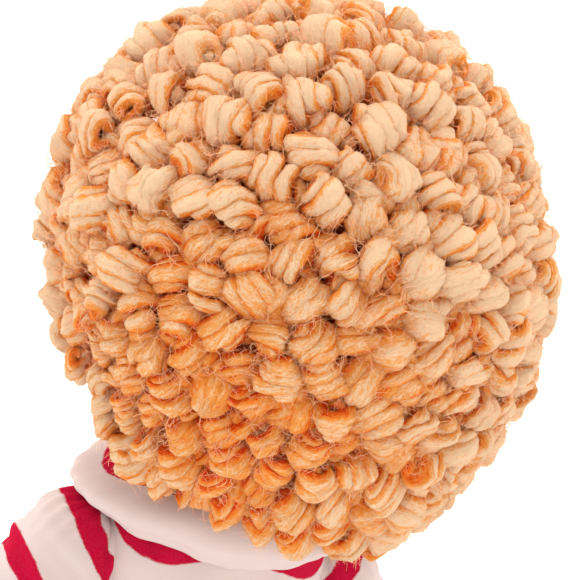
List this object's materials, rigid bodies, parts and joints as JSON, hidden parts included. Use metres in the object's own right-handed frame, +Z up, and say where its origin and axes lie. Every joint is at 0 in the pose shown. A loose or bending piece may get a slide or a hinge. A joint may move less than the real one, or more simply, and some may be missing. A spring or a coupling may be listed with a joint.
{
  "type": "rag doll",
  "caption": "Sitting stuffed rag doll with a wig of tight wound yarn curls, a rolled-collar jersey top, trousers and felt shoes; its limbs swing and its head turns.",
  "frame": {"origin": "middle of the seat's flat underside, where the sitting doll rests", "axes": "+Z up from the surface that it sits on, -Y the way that the doll faces, +X to the doll's own left"},
  "size_m": [0.1738, 0.2254, 0.2506],
  "materials": {
    "cotton_skin": "plain woven cotton",
    "filling": "loose polyester fibre",
    "hair_yarn": "soft loosely spun yarn, wound in tight curls",
    "cap_knit": "fine knitted backing",
    "eye_thread": "satin stitch in cotton thread",
    "mouth_thread": "cotton thread",
    "jersey": "soft brushed jersey in cream with red stripes",
    "rib_red": "ribbed jersey",
    "trouser_cotton": "plain woven cotton",
    "felt": "pressed wool felt",
    "sole_felt": "pressed wool felt"
  },
  "bodies": {
    "body": {"torso": "cotton_skin", "trousers_seat": "trouser_cotton", "trousers_waistband": "trouser_cotton", "top_body": "jersey", "top_collar": "jersey"},
    "head": {"head_skin": "cotton_skin", "head_filling": "filling", "eye_left": "eye_thread", "eye_right": "eye_thread", "nose": "cotton_skin", "mouth": "mouth_thread", "wig_cap": "cap_knit", "hair_crown": "hair_yarn", "hair_row_01": "hair_yarn", "hair_row_02": "hair_yarn", "hair_row_03": "hair_yarn", "hair_row_04": "hair_yarn", "hair_row_05": "hair_yarn", "hair_row_06": "hair_yarn", "hair_row_07": "hair_yarn", "hair_row_08": "hair_yarn", "hair_row_09": "hair_yarn", "hair_row_10": "hair_yarn"},
    "left_arm": {"arm_left": "cotton_skin", "sleeve_left": "jersey", "cuff_left": "rib_red"},
    "right_arm": {"arm_right": "cotton_skin", "sleeve_right": "jersey", "cuff_right": "rib_red"},
    "left_leg": {"leg_left": "cotton_skin", "trouser_leg_left": "trouser_cotton", "turn_up_left": "trouser_cotton", "shoe_left": "felt", "shoe_sole_left": "sole_felt"},
    "right_leg": {"leg_right": "cotton_skin", "trouser_leg_right": "trouser_cotton", "turn_up_right": "trouser_cotton", "shoe_right": "felt", "shoe_sole_right": "sole_felt"}
  },
  "joints": [
    {"name": "head_turn", "type": "hinge", "parent": "body", "child": "head", "pos_m": [0, 0, 0.1138], "axis": [0, 0, 1], "range_deg": [-40, 40]},
    {"name": "shoulder_left_swing", "type": "hinge", "parent": "body", "child": "left_arm", "pos_m": [0.0358, 0, 0.1007], "axis": [-1, 0, 0], "range_deg": [-45, 90]},
    {"name": "shoulder_right_swing", "type": "hinge", "parent": "body", "child": "right_arm", "pos_m": [-0.0358, 0, 0.1007], "axis": [-1, 0, 0], "range_deg": [-45, 90]},
    {"name": "hip_left_swing", "type": "hinge", "parent": "body", "child": "left_leg", "pos_m": [0.0228, -0.026, 0.0213], "axis": [1, 0, 0], "range_deg": [-15, 90]},
    {"name": "hip_right_swing", "type": "hinge", "parent": "body", "child": "right_leg", "pos_m": [-0.0228, -0.026, 0.0213], "axis": [1, 0, 0], "range_deg": [-15, 90]}
  ]
}
